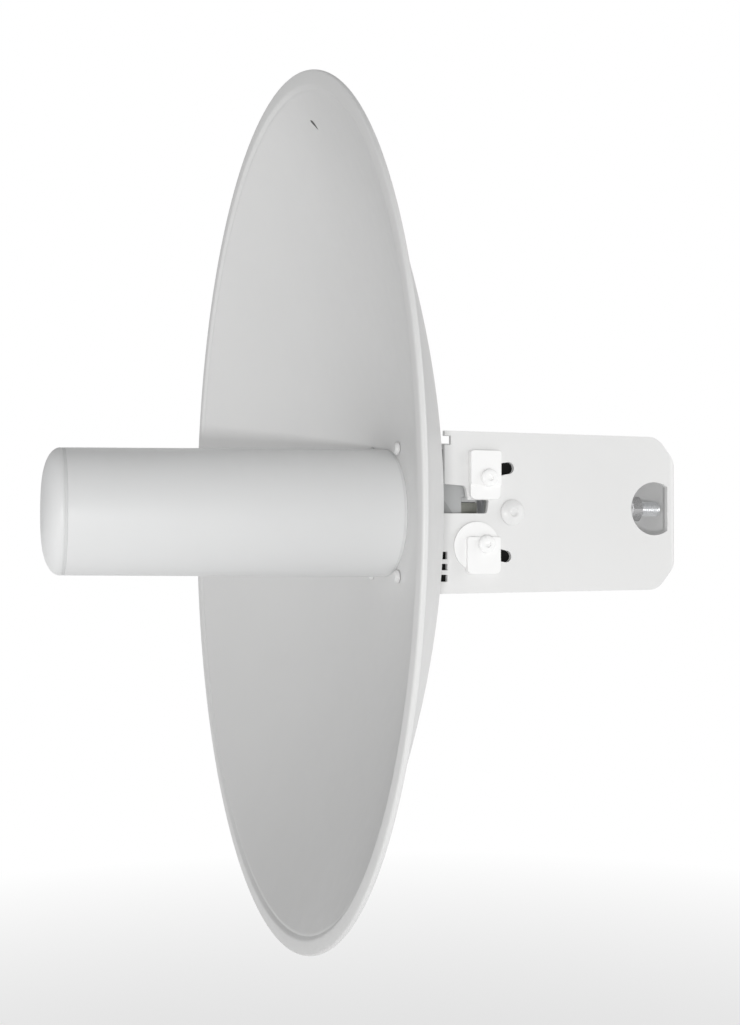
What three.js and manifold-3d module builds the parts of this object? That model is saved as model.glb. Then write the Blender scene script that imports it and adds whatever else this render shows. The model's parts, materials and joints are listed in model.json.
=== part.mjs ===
// Dish antenna with a tubular radio feed, an elevation hinge and a mast clamp.
// Millimetres. +Z is up and -Y is the direction the antenna looks in. The origin is on the mast's
// axis, level with the antenna's own axis.
import * as THREE from 'three';
import { mergeVertices } from 'three/addons/utils/BufferGeometryUtils.js';
import Module from 'manifold-3d';

const wasm = await Module();
wasm.setup();

// ---------------------------------------------------------------- driving dimensions
const GAP = 0.3; // air between two pieces that rest on each other
const RIM_R = 210; // dish, outer edge of the flange
const RIM_FRONT_Y = -156;
const RIM_BACK_Y = -153.6;
const BOWL_R = 205; // where the bowl meets the flange
const BOWL_EDGE_Y = -154;
const BOWL_DEPTH = 65;
const SHEET = 2; // dish sheet
const PAD_R = 44; // flat middle of the dish
const NECK_HOLE_R = 26.4;

const TUBE_END_Y = -95.6;
const TUBE_TIP_Y = -256.6;
const TUBE_BASE_R = 33.4;
const TUBE_TIP_R = 30.5;
const TUBE_WALL = 2.2;
const CAP_TIP_Y = -267.2;
const NECK_R = 25.7; // rear housing, outside
const NECK_WALL = 2;
const NECK_FLANGE_R = 30.4; // held between the feed tube and the dish
const HOUSING_FRONT_Y = -101;
const HOUSING_BACK_Y = -52;
const DOOR_PIN_Y = -62.5; // hinge of the network socket's cover
const DOOR_PIN_Z = -22.6;
const DOOR_HALF_X = 9.6;
const DOOR_PIN_R = 0.8;
const BUTTON_X = -6; // reset button
const BUTTON_Z = 10;
const BUTTON_R = 1.6;
const BOARD_X = [-9.9, -8.3]; // radio board, its two faces
const BOARD_Y = [-166, -57];
const BOARD_HALF_Z = 17;
const CAN = { x: [-8, -3.6], y: [-160, -106], halfZ: 13 }; // screen over the radio circuits
const PAD = { x: [-11.8, -10.3], y: [-158, -108], halfZ: 12 }; // thermal pad
const CARRIER = { x: [-14, -5.5], halfZ: 19.6, sheet: 1.7, y: [-166, -104] };
const GUIDE_BORE_R = 9.9; // waveguide
const GUIDE_OUT_R = 11.4;
const GUIDE_TIP_Y = -225.6;
const GUIDE_FLANGE_R = 29.3;
const GUIDE_FLANGE_Y = [-172, -169.6];
const SPLASH_R = 23.8; // sub-reflector
const SPLASH_Y = [-248.6, -246.4, -240];
const JACK = { halfX: 8, y: [-82.6, -69], z: [-21.6, -0.6] }; // network socket
const LATCH = { x: [22, 27.7], y: [-86.1, -54], z: [-3, 5] };

const PLATE_HALF = 40; // bracket side plates, outer faces
const PLATE_T = 2.5;
const PLATE_FRONT_Y = -77; // front edge, above the latch opening
const PLATE_TOE_Y = -79.5; // front edge, below it
const PLATE_REAR_Y = 57.4;
const PLATE_HALF_H = 40.5;
const CORNER_Y = 12.2; // rear corners of the plates are cut off by this much
const CORNER_Z = 14.4;

const PIVOT_Y = -40;
const PIVOT_PIN_R = 3;
const SLOT_R = 22.5; // elevation slots, distance from the pivot
const SLOT_HALF = 3;
const EAR_OUT = 36.4; // hub ears, outer and inner faces
const EAR_IN = 33.4;
const TAB_T = 3.1; // lock tabs, thickness of the raised block
const DISC_T = 0.9; // round foot of the lower lock tabs
const LOCK_HOLE_R = 2.8;
const LOCK_SIDE = [
  {
    name: 'upper',
    angle: 130, // where the lock screw sits, in degrees about the pivot
    slot: [95, 149], // ends of its slot, in degrees about the pivot
    tab: { y0: -64, y1: -47.5, z0: 6.5, z1: 31 },
    lip: 7, // height of the thinner step at the tab's lower edge
  },
  {
    name: 'lower',
    angle: 225,
    slot: [208, 261],
    tab: { y0: -66, y1: -48, z0: -30.7, z1: -12.3 },
    disc: { y: -60, z: -17, r: 12.3 },
  },
];

const MAST_R = 15.6; // the mast that the jaws are drawn closed on
const BOLT_X = 27;
const BOLT_Z = 2.4;
const BOLT_R = 3.9;
const BOLT_HEAD_Y = -28.8;
const BOLT_HEAD_H = 5.3;
const BOLT_END_Y = 53.5;
const BOLT_FLATS = 13;
const BOLT_HOLE_R = 4.3;
const JAW_HALF_H = 17;
const JAW_BACK_Y = 28;
const BOSS_R = 8.2; // rear jaw, round bosses under the nuts
const BOSS_END_Y = 32;
const CLAMP_WASHER_T = 1.6;
const CLAMP_NUT_H = 6.5;
const HUB_SCREW_X = 20;
const HUB_SCREW_Z = 32.5;
const HUB_HOLE_R = 2.3;
const HUB_T = 5; // thickness of the hub's base

const dishPadBackY = BOWL_EDGE_Y + BOWL_DEPTH * (1 - (PAD_R / BOWL_R) ** 2);
const dishPadFrontY = dishPadBackY - SHEET;
const hubFrontY = dishPadBackY + GAP;
const hubBackY = hubFrontY + HUB_T;
const plateIn = PLATE_HALF - PLATE_T;
const washerStartY = BOSS_END_Y + GAP;
const clampNutStartY = washerStartY + CLAMP_WASHER_T + GAP;

// ---------------------------------------------------------------- materials
function finish(color, roughness, metalness = 0) {
  return () => new THREE.MeshStandardMaterial({ color, roughness, metalness });
}
const whitePaint = finish('#eeeeec', 0.42);
const whitePlastic = finish('#e6e7e6', 0.5);
const greyCasting = finish('#9da0a0', 0.5, 0.6);
const zinc = finish('#b9bcbe', 0.35, 1);
const stainless = finish('#a9abad', 0.28, 1);
const brass = finish('#c4a45a', 0.35, 1);
const aluminium = finish('#c3c6c8', 0.4, 1);
const greyRubber = finish('#c2c4c4', 0.7);
const blackNylon = finish('#141516', 0.6);
const dielectric = finish('#f1efe6', 0.35);
const boardGreen = finish('#1f5a3a', 0.5);
const thermalGrey = finish('#7f8fa3', 0.9);
const clearPlastic = finish('#dfe8ee', 0.15);
const darkMetal = finish('#6d6f68', 0.4, 0.9);

// ---------------------------------------------------------------- solids
// One closed mesh with shared vertices and no collapsed triangles.
function closed(geometry) {
  const bare = new THREE.BufferGeometry();
  bare.setAttribute('position', geometry.getAttribute('position').clone());
  if (geometry.index) {
    bare.setIndex(geometry.index.clone());
  }
  const merged = mergeVertices(bare, 1e-4);
  const kept = [];
  const index = merged.index.array;
  for (let i = 0; i < index.length; i += 3) {
    const [a, b, c] = [index[i], index[i + 1], index[i + 2]];
    if (a !== b && b !== c && c !== a) {
      kept.push(a, b, c);
    }
  }
  merged.setIndex(kept);
  return merged;
}

function toSolid(geometry) {
  const body = closed(geometry);
  const vertProperties = new Float32Array(body.getAttribute('position').array);
  const triVerts = new Uint32Array(body.index.array);
  return new wasm.Manifold(new wasm.Mesh({ numProp: 3, vertProperties, triVerts }));
}

function toGeometry(solid) {
  const mesh = solid.getMesh();
  const geometry = new THREE.BufferGeometry();
  geometry.setAttribute('position', new THREE.BufferAttribute(new Float32Array(mesh.vertProperties), 3));
  geometry.setIndex(new THREE.BufferAttribute(new Uint32Array(mesh.triVerts), 1));
  return geometry;
}

function cut(geometry, cutters) {
  return toGeometry(cutters.reduce((body, cutter) => body.subtract(toSolid(cutter)), toSolid(geometry)));
}

function join(geometries) {
  return toGeometry(geometries.map(toSolid).reduce((all, body) => all.add(body)));
}

function common(a, b) {
  return toGeometry(toSolid(a).intersect(toSolid(b)));
}

// Outline through the points. A point [a, b, r] is rounded with a curve that starts r before it.
function outline(points) {
  const shape = new THREE.Shape();
  const count = points.length;
  for (let i = 0; i < count; i += 1) {
    const here = new THREE.Vector2(points[i][0], points[i][1]);
    const before = new THREE.Vector2(...points[(i + count - 1) % count].slice(0, 2));
    const after = new THREE.Vector2(...points[(i + 1) % count].slice(0, 2));
    const radius = points[i][2] ?? 0;
    const start = here.clone().add(before.sub(here).setLength(radius));
    const end = here.clone().add(after.sub(here).setLength(radius));
    if (i === 0) {
      shape.moveTo(start.x, start.y);
    } else {
      shape.lineTo(start.x, start.y);
    }
    if (radius > 0) {
      shape.quadraticCurveTo(here.x, here.y, end.x, end.y);
    }
  }
  shape.closePath();
  return shape;
}

function arcPoints(radius, fromDeg, toDeg, steps, centre = [0, 0]) {
  const points = [];
  for (let i = 0; i <= steps; i += 1) {
    const angle = THREE.MathUtils.degToRad(fromDeg + ((toDeg - fromDeg) * i) / steps);
    points.push([centre[0] + radius * Math.cos(angle), centre[1] + radius * Math.sin(angle)]);
  }
  return points;
}

function extrude(shape, depth, curveSegments = 5) {
  return new THREE.ExtrudeGeometry(shape, { depth, bevelEnabled: false, curveSegments });
}

// A (y, z) outline as a plate from x0 to x1.
function plateX(shape, x0, x1, curveSegments) {
  const place = new THREE.Matrix4().makeBasis(
    new THREE.Vector3(0, 1, 0),
    new THREE.Vector3(0, 0, 1),
    new THREE.Vector3(1, 0, 0),
  );
  return extrude(shape, x1 - x0, curveSegments).applyMatrix4(place).translate(x0, 0, 0);
}

// An (x, z) outline as a plate from y0 to y1.
function plateY(shape, y0, y1, curveSegments) {
  return extrude(shape, y1 - y0, curveSegments).rotateX(Math.PI / 2).translate(0, y1, 0);
}

// An (x, y) outline as a plate from z0 to z1.
function plateZ(shape, z0, z1, curveSegments) {
  return extrude(shape, z1 - z0, curveSegments).translate(0, 0, z0);
}

function box(x0, x1, y0, y1, z0, z1) {
  const body = new THREE.BoxGeometry(x1 - x0, y1 - y0, z1 - z0);
  return body.translate((x0 + x1) / 2, (y0 + y1) / 2, (z0 + z1) / 2);
}

// A closed (radius, y) profile turned about the Y axis.
function turned(profile, segments = 24) {
  let area = 0;
  profile.forEach(([r, y], i) => {
    const [r2, y2] = profile[(i + 1) % profile.length];
    area += r * y2 - r2 * y;
  });
  const ordered = area > 0 ? profile : [...profile].reverse();
  const points = [...ordered, ordered[0]].map(([r, y]) => new THREE.Vector2(r, y));
  return closed(new THREE.LatheGeometry(points, segments));
}

function rodY(radius, y0, y1, segments = 20) {
  return turned([[0, y0], [radius, y0], [radius, y1], [0, y1]], segments);
}

function hexY(acrossFlats, y0, y1) {
  return turned([[0, y0], [acrossFlats / Math.sqrt(3), y0], [acrossFlats / Math.sqrt(3), y1], [0, y1]], 6);
}

function ringY(inner, outer, y0, y1, segments = 24) {
  return turned([[inner, y0], [outer, y0], [outer, y1], [inner, y1]], segments);
}

const circle = (y, z, r, steps = 20) => outline(arcPoints(r, 0, 360 - 360 / steps, steps - 1, [y, z]));
const onPivot = (radius, deg) => arcPoints(radius, deg, deg, 1, [PIVOT_Y, 0])[0];

// ---------------------------------------------------------------- dish
const bowlBackY = (r) => BOWL_EDGE_Y + BOWL_DEPTH * (1 - (r / BOWL_R) ** 2);

function bowlFrontPoint(r) {
  const slope = (2 * BOWL_DEPTH * r) / BOWL_R ** 2;
  return [r, bowlBackY(r) - SHEET * Math.hypot(1, slope)];
}

function reflectorDish() {
  const rings = 6; // rings of facets between the flat middle and the flange
  const radii = [];
  for (let i = 1; i <= rings; i += 1) {
    radii.push(PAD_R + ((BOWL_R - 12 - PAD_R) * i) / rings);
  }
  const front = [
    [NECK_HOLE_R, dishPadFrontY],
    [PAD_R, dishPadFrontY],
    ...radii.map(bowlFrontPoint),
    bowlFrontPoint(BOWL_R - 3),
    [BOWL_R - 0.7, RIM_FRONT_Y + 0.3],
    [BOWL_R + 1, RIM_FRONT_Y],
    [RIM_R - 0.8, RIM_FRONT_Y],
    [RIM_R, RIM_FRONT_Y + 0.8],
  ];
  const back = [
    [RIM_R, RIM_BACK_Y - 0.6],
    [RIM_R - 0.8, RIM_BACK_Y],
    [BOWL_R + 2, RIM_BACK_Y],
    [BOWL_R - 1, bowlBackY(BOWL_R - 1)],
    ...[...radii].reverse().map((r) => [r, bowlBackY(r)]),
    [PAD_R, dishPadBackY],
    [NECK_HOLE_R, dishPadBackY],
  ];
  return cut(turned([...front, ...back], 60), hubScrewHoles());
}

function hubScrewPlaces() {
  const places = [];
  for (const x of [-HUB_SCREW_X, HUB_SCREW_X]) {
    for (const z of [-HUB_SCREW_Z, HUB_SCREW_Z]) {
      places.push([x, z]);
    }
  }
  return places;
}

function hubScrewHoles() {
  const hole = () => rodY(HUB_HOLE_R, dishPadFrontY - 5, hubBackY + 5, 12);
  return hubScrewPlaces().map(([x, z]) => hole().translate(x, 0, z));
}

// ---------------------------------------------------------------- hub with its two ears
function lockPlace(side) {
  return onPivot(SLOT_R, side.angle);
}

function earOutline() {
  const foot = [[-64, -29], [-54, -24.5], [-48, -18]];
  return outline([
    [hubFrontY + 1, -34],
    ...foot,
    ...arcPoints(10, -70, 70, 8, [PIVOT_Y, 0]),
    ...foot.map(([y, z]) => [y, -z]).reverse(),
    [hubFrontY + 1, 34],
  ]);
}

function dishHub() {
  const corner = 14;
  const base = plateY(outline([
    [-EAR_OUT, -40, corner],
    [EAR_OUT, -40, corner],
    [EAR_OUT, 40, corner],
    [-EAR_OUT, 40, corner],
  ]), hubFrontY, hubBackY);
  const ears = [[-EAR_OUT, -EAR_IN], [EAR_IN, EAR_OUT]].map(([x0, x1]) => plateX(earOutline(), x0, x1));
  const through = [-50, 50];
  const cutters = [
    rodY(NECK_HOLE_R, hubFrontY - 5, hubBackY + 5, 40),
    ...hubScrewHoles(),
    plateX(circle(PIVOT_Y, 0, PIVOT_PIN_R + 0.2, 16), ...through),
    ...LOCK_SIDE.map((side) => plateX(circle(...lockPlace(side), LOCK_HOLE_R, 12), ...through)),
    box(...through, -66.5, -52.5, -4.5, 7.5),
  ];
  return cut(join([base, ...ears]), cutters);
}

function hubScrew() {
  const headR = 3.4;
  const face = dishPadFrontY - GAP;
  return turned([
    [0, face - 2.2],
    [headR - 1.2, face - 2.2],
    [headR, face - 1],
    [headR, face],
    [1.9, face],
    [1.9, hubBackY + 4.4],
    [0, hubBackY + 4.4],
  ], 16);
}

function hubNut() {
  const start = hubBackY + GAP;
  return cut(hexY(7, start, start + 3.2), [rodY(2.1, start - 1, start + 5, 12)]);
}

// Black slip sheet between an ear and the bracket plate. Its foot lies behind the plate's notches.
function frictionShim(x0, x1) {
  const foot = plateX(outline([
    [-82, -35.2],
    [-71, -35.2],
    [-62, -28.5],
    [-54, -24],
    [-54, -18.8],
    [-82, -18.8],
  ]), x0, x1);
  const sheet = plateX(outline([
    ...arcPoints(26.5, 85, 152, 8, [PIVOT_Y, 0]),
    ...arcPoints(26.5, 208, 275, 8, [PIVOT_Y, 0]),
    onPivot(12, 275),
    ...arcPoints(9.5, 290, 430, 8, [PIVOT_Y, 0]),
    onPivot(12, 85),
  ]), x0, x1);
  return cut(join([sheet, foot]), [
    plateX(circle(PIVOT_Y, 0, PIVOT_PIN_R + 0.2, 16), x0 - 1, x1 + 1),
    ...LOCK_SIDE.map((side) => plateX(circle(...lockPlace(side), LOCK_HOLE_R, 12), x0 - 1, x1 + 1)),
    box(x0 - 1, x1 + 1, -70, -51.5, -5, 8),
  ]);
}

// ---------------------------------------------------------------- elevation lock
function lockTab(side) {
  const { y0, y1, z0, z1 } = side.tab;
  const start = PLATE_HALF + GAP;
  const face = start + TAB_T;
  const block = outline([
    [y0, z0, 3],
    [y1, z0, 3],
    [y1, z1, 1.5],
    [y0, z1, 1.5],
  ]);
  const pieces = [plateX(block, start, face, 3)];
  if (side.disc) {
    pieces.push(plateX(circle(side.disc.y, side.disc.z, side.disc.r, 32), start, start + DISC_T));
  }
  const cutters = [plateX(circle(...lockPlace(side), LOCK_HOLE_R, 12), start - 1, face + 1)];
  if (side.lip) {
    cutters.push(box(face - 0.8, face + 1, y0 - 1, y1 + 1, z0 - 1, z0 + side.lip));
  }
  return cut(join(pieces), cutters);
}

// Turned about local Y, head at the +Y end, then laid along +X or -X.
function alongX(geometry, sign) {
  return geometry.rotateZ(sign > 0 ? -Math.PI / 2 : Math.PI / 2);
}

function lockScrew(headSeat) {
  const tail = EAR_IN - 5.2;
  const body = turned([
    [0, tail],
    [2.5, tail],
    [2.5, headSeat],
    [4.6, headSeat],
    [4.4, headSeat + 1.2],
    [3.2, headSeat + 2.1],
    [0, headSeat + 2.1],
  ], 18);
  return cut(body, [hexY(3, headSeat + 0.9, headSeat + 3)]);
}

function lockNut() {
  return cut(hexY(8, EAR_IN - GAP - 3.9, EAR_IN - GAP), [rodY(2.7, EAR_IN - 8, EAR_IN + 2, 12)]);
}

function pivotRivet() {
  const seat = PLATE_HALF + GAP;
  const tail = EAR_IN - 2.1;
  return turned([
    [0, tail - 2.1],
    [4.8, tail - 2.1],
    [4.8, tail],
    [PIVOT_PIN_R, tail],
    [PIVOT_PIN_R, seat],
    [6.5, seat],
    [6.5, seat + 0.8],
    [4.6, seat + 1.9],
    [0, seat + 2.3],
  ], 20);
}

function pivotWasher() {
  return ringY(PIVOT_PIN_R + 0.2, 6.2, EAR_IN - GAP - 1.5, EAR_IN - GAP, 24);
}

// ---------------------------------------------------------------- mast bracket
function slotOutline(side) {
  const [from, to] = side.slot;
  const [startY, startZ] = onPivot(SLOT_R, from);
  const [endY, endZ] = onPivot(SLOT_R, to);
  return outline([
    ...arcPoints(SLOT_R + SLOT_HALF, from, to, 8, [PIVOT_Y, 0]),
    ...arcPoints(SLOT_HALF, to + 15, to + 165, 8, [endY, endZ]),
    ...arcPoints(SLOT_R - SLOT_HALF, to, from, 8, [PIVOT_Y, 0]),
    ...arcPoints(SLOT_HALF, from - 165, from - 15, 8, [startY, startZ]),
  ]);
}

function wrenchWindow() {
  const centre = [43.4, 2.4];
  const radius = 14.1;
  const flatY = 51.4;
  const half = THREE.MathUtils.radToDeg(Math.acos((flatY - centre[0]) / radius));
  return outline(arcPoints(radius, half, 360 - half, 22, centre));
}

function poleBracket() {
  const channel = plateZ(outline([
    [-PLATE_HALF, PLATE_TOE_Y],
    [-plateIn, PLATE_TOE_Y],
    [-plateIn, PLATE_REAR_Y - PLATE_T, 2.5],
    [plateIn, PLATE_REAR_Y - PLATE_T, 2.5],
    [plateIn, PLATE_TOE_Y],
    [PLATE_HALF, PLATE_TOE_Y],
    [PLATE_HALF, PLATE_REAR_Y, 5],
    [-PLATE_HALF, PLATE_REAR_Y, 5],
  ]), -PLATE_HALF_H, PLATE_HALF_H);
  const sideView = plateX(outline([
    [PLATE_TOE_Y - 1, -PLATE_HALF_H],
    [PLATE_REAR_Y - CORNER_Y, -PLATE_HALF_H, 5],
    [PLATE_REAR_Y, -PLATE_HALF_H + CORNER_Z, 5],
    [PLATE_REAR_Y, PLATE_HALF_H - CORNER_Z, 5],
    [PLATE_REAR_Y - CORNER_Y, PLATE_HALF_H, 5],
    [PLATE_FRONT_Y, PLATE_HALF_H],
    [PLATE_FRONT_Y, 0],
    [PLATE_TOE_Y - 1, 0],
  ]), -PLATE_HALF - 1, PLATE_HALF + 1);
  const wide = [-PLATE_HALF - 5, PLATE_HALF + 5];
  const latchCutout = outline([
    [PLATE_TOE_Y - 2, -0.6],
    [-54, -0.6, 1.5],
    [-53, 6.2, 1],
    [-64.5, 6.2],
    [-65.5, 13.2, 2],
    [PLATE_TOE_Y - 2, 14.2],
  ]);
  const notches = [[-34.5, -31], [-28.8, -25.6], [-23.4, -19.6]].map(([z0, z1]) => (
    box(...wide, PLATE_TOE_Y - 2, PLATE_TOE_Y + 4, z0, z1)
  ));
  return cut(common(channel, sideView), [
    plateX(wrenchWindow(), ...wide),
    plateX(latchCutout, ...wide),
    plateX(circle(PIVOT_Y, 0, PIVOT_PIN_R + 0.15, 16), ...wide),
    ...LOCK_SIDE.map((side) => plateX(slotOutline(side), ...wide)),
    box(...wide, PLATE_FRONT_Y - 2, PLATE_FRONT_Y + 3.4, 33.5, 38),
    ...notches,
  ]);
}

// Outline of a V jaw on the +Y side of the mast: half width of its wings, and its back face.
function jawOutline(halfWidth, backY) {
  const apex = MAST_R * Math.SQRT2;
  const mouth = 16; // half width of the V
  const lip = apex - mouth;
  const wingX = 20;
  const wingY = 17;
  const right = [
    [0, apex],
    [mouth, lip, 0.8],
    [wingX, lip, 1.5],
    [wingX, wingY, 1],
    [halfWidth, wingY],
    [halfWidth, backY],
  ];
  const left = right.slice(1).reverse().map(([x, y, r]) => [-x, y, r ?? 0]);
  return [...right, ...left];
}

function frontJaw() {
  const faceY = BOLT_HEAD_Y - 0.2;
  const mirrored = jawOutline(plateIn - GAP, -faceY).map(([x, y, r]) => [x, -y, r ?? 0]).reverse();
  const cutters = [];
  for (const x of [-BOLT_X, BOLT_X]) {
    cutters.push(rodY(BOLT_HOLE_R, faceY - 5, 0, 16).translate(x, 0, BOLT_Z));
    cutters.push(hexY(BOLT_FLATS + 0.5, faceY - 5, faceY + 5.8).translate(x, 0, BOLT_Z));
  }
  return cut(plateZ(outline(mirrored), -JAW_HALF_H, JAW_HALF_H, 3), cutters);
}

function rearJaw() {
  const body = plateZ(outline(jawOutline(plateIn - 2, JAW_BACK_Y)), -JAW_HALF_H, JAW_HALF_H, 3);
  const atBolts = (make) => [-BOLT_X, BOLT_X].map((x) => make().translate(x, 0, BOLT_Z));
  const bosses = atBolts(() => rodY(BOSS_R, JAW_BACK_Y - 4, BOSS_END_Y, 24));
  return cut(join([body, ...bosses]), atBolts(() => rodY(BOLT_HOLE_R, 0, BOSS_END_Y + 5, 16)));
}

function clampBolt() {
  const inHead = BOLT_HEAD_Y + 4;
  const shank = turned([
    [0, inHead],
    [BOLT_R, inHead],
    [BOLT_R, BOLT_END_Y - 1],
    [BOLT_R - 1, BOLT_END_Y],
    [0, BOLT_END_Y],
  ], 20);
  return join([hexY(BOLT_FLATS, BOLT_HEAD_Y, BOLT_HEAD_Y + BOLT_HEAD_H), shank]);
}

function clampNut() {
  const end = clampNutStartY + CLAMP_NUT_H;
  return cut(hexY(BOLT_FLATS, clampNutStartY, end), [rodY(BOLT_R + 0.2, clampNutStartY - 2, end + 2, 20)]);
}

// ---------------------------------------------------------------- feed
function tubeR(y) {
  return TUBE_TIP_R + ((TUBE_BASE_R - TUBE_TIP_R) * (y - TUBE_TIP_Y)) / (TUBE_END_Y - TUBE_TIP_Y);
}

function feedTube() {
  const ends = [TUBE_END_Y, TUBE_TIP_Y];
  const outer = ends.map((y) => [tubeR(y), y]);
  const inner = ends.reverse().map((y) => [tubeR(y) - TUBE_WALL, y]);
  return turned([...outer, ...inner], 40);
}

function feedCap() {
  const seatY = TUBE_TIP_Y - 1.3;
  return turned([
    [TUBE_TIP_R, seatY],
    [TUBE_TIP_R - 0.5, seatY - 3],
    [TUBE_TIP_R - 2, seatY - 5.6],
    [TUBE_TIP_R - 4.8, seatY - 7.6],
    [TUBE_TIP_R - 9.5, seatY - 8.7],
    [12, CAP_TIP_Y + 0.15],
    [0, CAP_TIP_Y],
    [0, CAP_TIP_Y + 2.2],
    [20, CAP_TIP_Y + 2.8],
    [25.6, seatY - 3.5],
    [25.6, seatY + 8],
    [27.8, seatY + 8],
    [27.8, seatY],
  ], 40);
}

function subReflector() {
  const [backY, edgeY, coneY] = SPLASH_Y;
  return turned([[0, coneY], [SPLASH_R, edgeY], [SPLASH_R, backY], [0, backY]], 32);
}

function subReflectorSupport() {
  const [, edgeY, coneY] = SPLASH_Y;
  const plugR = GUIDE_BORE_R - GAP;
  const plugEndY = GUIDE_TIP_Y + 11.6;
  return turned([
    [0, coneY + 0.4],
    [SPLASH_R - GAP, edgeY + 0.5],
    [SPLASH_R - GAP, edgeY + 2],
    [plugR, GUIDE_TIP_Y - 0.4],
    [plugR, plugEndY],
    [0, plugEndY],
  ], 32);
}

// Round guide that carries the signal, closed by the flange that centres it in the tube.
function waveguide() {
  const [front, back] = GUIDE_FLANGE_Y;
  return turned([
    [GUIDE_BORE_R, GUIDE_TIP_Y],
    [GUIDE_OUT_R, GUIDE_TIP_Y],
    [GUIDE_OUT_R, front],
    [GUIDE_FLANGE_R, front],
    [GUIDE_FLANGE_R, back],
    [0, back],
    [0, front],
    [GUIDE_BORE_R, front],
  ], 32);
}

function boardCarrier() {
  const [backX, frontX] = CARRIER.x;
  const innerZ = CARRIER.halfZ - CARRIER.sheet;
  const upper = [
    [backX + CARRIER.sheet, innerZ],
    [frontX, innerZ],
    [frontX, CARRIER.halfZ],
    [backX, CARRIER.halfZ],
  ];
  const lower = upper.map(([x, z]) => [x, -z]).reverse();
  return plateY(outline([...lower, ...upper]), ...CARRIER.y);
}

function rearHousing() {
  const inner = NECK_R - NECK_WALL;
  const shell = turned([
    [inner, HOUSING_FRONT_Y],
    [NECK_FLANGE_R, HOUSING_FRONT_Y],
    [NECK_FLANGE_R, HOUSING_FRONT_Y + 2.5],
    [NECK_R, HOUSING_FRONT_Y + 2.5],
    [NECK_R, HOUSING_BACK_Y - 1.5],
    [NECK_R - 1.5, HOUSING_BACK_Y],
    [0, HOUSING_BACK_Y],
    [0, HOUSING_BACK_Y - NECK_WALL],
    [inner, HOUSING_BACK_Y - NECK_WALL],
  ], 40);
  const doorWay = DOOR_HALF_X + GAP;
  return cut(shell, [
    box(-doorWay, doorWay, -85, -58.8, -30, -23.6), // recess that the cover lies in
    box(-JACK.halfX - 0.4, JACK.halfX + 0.4, JACK.y[0] - 0.4, JACK.y[1] + 0.4, -30, -15),
    box(-doorWay, doorWay, -64.8, -58.8, -30, -20.6), // room for the cover's knuckle
    rodY(DOOR_PIN_R + 0.2, -12, 12, 12).rotateZ(Math.PI / 2).translate(0, DOOR_PIN_Y, DOOR_PIN_Z),
    box(18, 30, LATCH.y[0] - GAP, LATCH.y[1] + 0.4, LATCH.z[0] - 0.4, LATCH.z[1] + 0.4),
    rodY(BUTTON_R + GAP, -56, -50, 14).translate(BUTTON_X, 0, BUTTON_Z),
    box(-7.9, 3.3, -56, -50, 14.1, 16.9), // light pipe's window
  ]);
}

function portCover() {
  const slab = box(-DOOR_HALF_X, DOOR_HALF_X, -90, -50, -30, -23.9);
  const skin = common(rodY(NECK_R, -84.6, DOOR_PIN_Y, 40), slab);
  const knuckle = rodY(1.7, -9.5, 9.5, 16).rotateZ(Math.PI / 2).translate(0, DOOR_PIN_Y, DOOR_PIN_Z);
  const web = box(-9.5, 9.5, -63.9, -62.2, -24.4, -22.8);
  const bore = rodY(0.95, -20, 20, 12).rotateZ(Math.PI / 2).translate(0, DOOR_PIN_Y, DOOR_PIN_Z);
  return cut(join([skin, web, knuckle]), [bore]);
}

function portCoverPin() {
  return rodY(DOOR_PIN_R, -11.2, 11.2, 12).rotateZ(Math.PI / 2);
}

function ethernetJack() {
  const body = box(-JACK.halfX, JACK.halfX, ...JACK.y, ...JACK.z);
  const [y0] = JACK.y;
  const plugWay = box(-6.2, 6.2, y0 + 2, y0 + 10.6, -25, -6);
  const keyWay = box(-3, 3, y0 + 10.5, y0 + 12, -25, -6);
  return cut(body, [plugWay, keyWay]);
}

function releaseLatch() {
  return join([
    box(...LATCH.x, ...LATCH.y, ...LATCH.z),
    box(20.8, 22.2, -84, -56, -4.4, 6.4), // lip that keeps it from falling out
    box(27.5, 28.3, -64, -56, -2, 4), // raised finger pad
  ]);
}

function latchSpring() {
  const sheet = 0.5;
  const bow = [[20.5, -82], [12, -71], [20.5, -60]];
  const inside = bow.map(([x, y]) => [x - sheet, y]).reverse();
  return plateZ(outline([...bow, ...inside]), -1, 3);
}

function resetButton() {
  return turned([
    [0, -61.4],
    [1.2, -61.4],
    [1.2, -56.2],
    [2.7, -56.2],
    [2.7, -54.4],
    [BUTTON_R, -54.4],
    [BUTTON_R, -51.5],
    [BUTTON_R - 0.3, -51.2],
    [0, -51.2],
  ], 16);
}

// ---------------------------------------------------------------- the assembly
const bracket = new THREE.Group();
const rearJawGroup = new THREE.Group();
const antenna = new THREE.Group();

function add(group, name, geometry, material, position = [0, 0, 0]) {
  const mesh = new THREE.Mesh(closed(geometry), material());
  mesh.name = name;
  mesh.position.set(...position);
  group.add(mesh);
  return mesh;
}

add(bracket, 'pole_bracket', poleBracket(), whitePaint);
add(bracket, 'front_jaw', frontJaw(), zinc);
add(rearJawGroup, 'rear_jaw', rearJaw(), zinc);

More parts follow.
